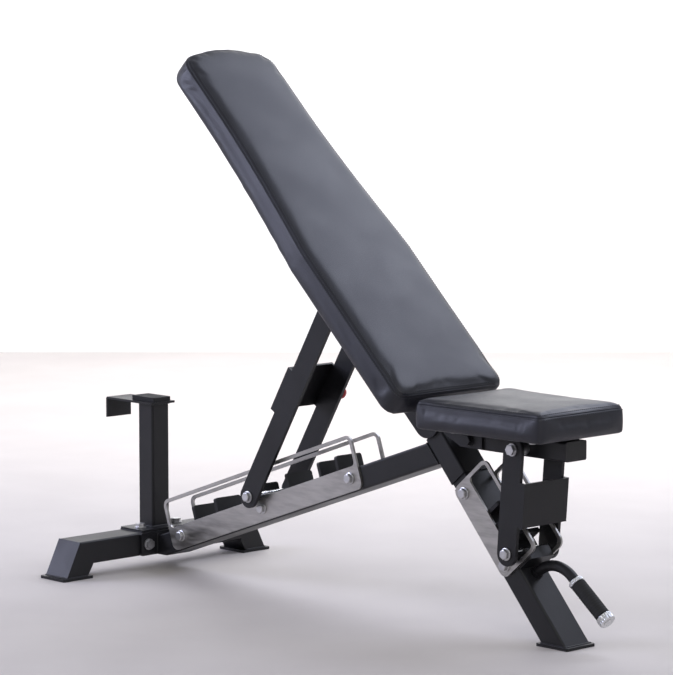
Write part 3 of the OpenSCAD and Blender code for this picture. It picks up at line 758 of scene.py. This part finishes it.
def dress_handle():
    """Grooved rubber grip, and a ribbed ring and end cap."""
    origin, axis = tail_frame()
    a, b = node_span("handle_grip", axis, origin)
    grip_r = (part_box("handle_grip")[1].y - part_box("handle_grip")[0].y) / 2
    steps, groove_every, groove_depth = 60, 4, 0.0005
    profile = [(a, grip_r * 0.8), (a, grip_r - 0.0012), (a + 0.0015, grip_r)]
    for i in range(1, steps):
        t = i / steps
        grooved = i % groove_every == 0 and groove_every < i < steps - groove_every
        groove = groove_depth if grooved else 0
        profile.append((a + (b - a) * t, grip_r - groove + 0.0003 * math.sin(math.pi * t)))
    profile += [(b - 0.0015, grip_r), (b, grip_r - 0.0012), (b, grip_r * 0.8)]
    grip = lathe("handle_grip_rubber", origin, axis, profile, 56)
    grip.data.materials.append(MATERIALS["rubber"])
    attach(grip, "frame")
    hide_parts("handle_grip")
    for node_name, ribs in (("handle_ring", 28), ("handle_end_cap", 20)):
        lo, hi = node_span(node_name, axis, origin)
        r = (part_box(node_name)[1].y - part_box(node_name)[0].y) / 2

        def knurl(at, i, lo=lo, hi=hi, ribs=ribs):
            ribbed = lo + 0.002 < at < hi - 0.002
            wave = 0.5 - 0.5 * math.cos(2 * math.pi * ribs * i / TURNED_SIDES)
            return -RIB_DEPTH * wave if ribbed else 0

        profile = [(lo, r * 0.7), (lo, r - 0.0016), (lo + 0.0012, r - 0.0003),
                   (lo + 0.0019, r - 0.0003), (lo + 0.0027, r), (hi - 0.0027, r),
                   (hi - 0.0019, r - 0.0003), (hi - 0.0012, r - 0.0004), (hi, r - 0.0018),
                   (hi, r * 0.62), (hi - 0.0006, r * 0.58), (hi - 0.0006, r * 0.1)]
        piece = lathe(node_name + "_turned", origin, axis, profile, TURNED_SIDES, knurl)
        piece.data.materials.append(MATERIALS["aluminium"])
        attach(piece, "frame")
        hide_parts(node_name)


def weld(name, points, radius, closed=False):
    """Bead of overlapping ripples laid along a line of points."""
    path = []
    ends = list(zip(points, points[1:] + ([points[0]] if closed else [])))
    for a, b in ends:
        count = max(2, int((Vector(b) - Vector(a)).length / 0.0008))
        path += [Vector(a).lerp(Vector(b), i / count) for i in range(count)]
    if not closed:
        path.append(Vector(points[-1]))
    rings = []
    for i, p in enumerate(path):
        q = path[min(i + 1, len(path) - 1)]
        o = path[max(i - 1, 0)]
        t = (q - o).normalized()
        side = t.orthogonal().normalized()
        up = t.cross(side)
        r = radius * (0.82 + 0.18 * abs(math.sin(i * 0.62))) * random.uniform(0.97, 1.03)
        rings.append([p + (side * math.cos(2 * math.pi * k / 8) + up * math.sin(2 * math.pi * k / 8)) * r
                      for k in range(8)])
    return rings_mesh(name, rings, close=not closed)


X, Y = Vector((1, 0, 0)), Vector((0, 1, 0))
HALF_TUBE = 0.0375


def rectangle(centre, half_x, half_y):
    """Corners of a level rectangle."""
    return [centre + X * sx * half_x + Y * sy * half_y for sx, sy in ((-1, -1), (1, -1), (1, 1), (-1, 1))]


def crossing(out_of_leg, out_of_spine, y):
    """Point at given distances out along the leg's and the spine's normals."""
    det = LEG_N.x * SPINE_N.z - LEG_N.z * SPINE_N.x
    x = (out_of_leg * SPINE_N.z - LEG_N.z * out_of_spine) / det
    z = (LEG_N.x * out_of_spine - out_of_leg * SPINE_N.x) / det
    return Vector((x, y, z))


def post_welds():
    lo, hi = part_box("post_tube")
    half = (hi.x - lo.x) / 2
    beads = [weld("weld_post", rectangle(Vector(((lo.x + hi.x) / 2, 0, z)), half, half), 0.0024, True)
             for z in (lo.z, hi.z)]
    lo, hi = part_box("post_base_plate")
    foot = rectangle(Vector(((lo.x + hi.x) / 2, 0, lo.z)), min(HALF_TUBE, (hi.x - lo.x) / 2),
                     (hi.y - lo.y) / 2)
    return beads + [weld("weld_base", foot, 0.002, True)]


def spine_welds():
    flange_lo, flange_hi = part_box("spine_flange")
    tube_lo, tube_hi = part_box("spine_tube")
    leg_rear = min(v.co.dot(LEG_N) for v in frame["nodes"]["leg_stub"].data.vertices)
    spine = [v.co for v in frame["nodes"]["spine_tube"].data.vertices]
    top = max(c.dot(SPINE_N) for c in spine)
    under = min(c.dot(SPINE_N) for c in spine if c.dot(SPINE_U) > 0.2)
    beads = []
    for side in (-1, 1):
        y = side * (tube_hi.y - tube_lo.y) / 2
        beads.append(weld("weld_flange", [Vector((flange_hi.x, y, flange_lo.z + 0.002)),
                          Vector((flange_hi.x, y, flange_hi.z - 0.004))], 0.0025))
        beads.append(weld("weld_spine", [crossing(leg_rear, level, y) for level in (under, top)], 0.0024))
    return beads


def foot_welds():
    beads = []
    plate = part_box("rear_foot_plates")[1].z
    for name, side in (("left", 1), ("right", -1)):
        lo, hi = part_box(f"stabilizer_leg_{name}")
        outer = side * max(abs(lo.y), abs(hi.y))
        inner = outer - side * 0.058
        beads.append(weld("weld_foot", [Vector((lo.x, inner, plate)), Vector((lo.x, outer, plate)),
                          Vector((hi.x, outer, plate)), Vector((hi.x, inner, plate))], 0.0022))
    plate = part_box("front_foot_plate")[1].z
    foot = [v.co for v in frame["nodes"]["front_leg"].data.vertices if v.co.z < plate + 0.0005]
    x0, x1 = min(c.x for c in foot), max(c.x for c in foot)
    sole = rectangle(Vector(((x0 + x1) / 2, 0, plate)), (x1 - x0) / 2, max(c.y for c in foot))
    return beads + [weld("weld_front_foot", sole, 0.0022, True)]


def add_welds():
    beads = post_welds() + spine_welds() + foot_welds()
    for bead in beads:
        bead.data.materials.append(PAINT)
    whole = join("frame_welds", beads)
    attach(whole, "frame")


def dress_knob():
    """Red knob: a short stem that swells into a round head."""
    centre = middle("strut_knob")
    lo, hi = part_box("strut_knob")
    r, length = (hi.z - lo.z) / 2, hi.y - lo.y
    stem = 0.0085
    profile = [(0, 0.0045), (0.006, 0.0045), (0.007, 0.007), (stem, stem)]
    for i in range(1, 14):
        t = i / 13
        swell = r * math.sin(math.pi * (0.12 + 0.88 * t)) ** 0.6 if t < 1 else 0
        profile.append((stem + (length - stem) * t, max(0.0006, swell)))
    knob = lathe("strut_pull_knob", (centre.x, lo.y, centre.z), Y, profile, 40)
    knob.data.materials.append(MATERIALS["knob_plastic"])
    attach(knob, "backrest_strut")
    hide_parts("strut_knob")


add_camera()
add_stage()
dress_nodes()
dress_bolts()
dress_handle()
dress_knob()
add_welds()
add_pads()
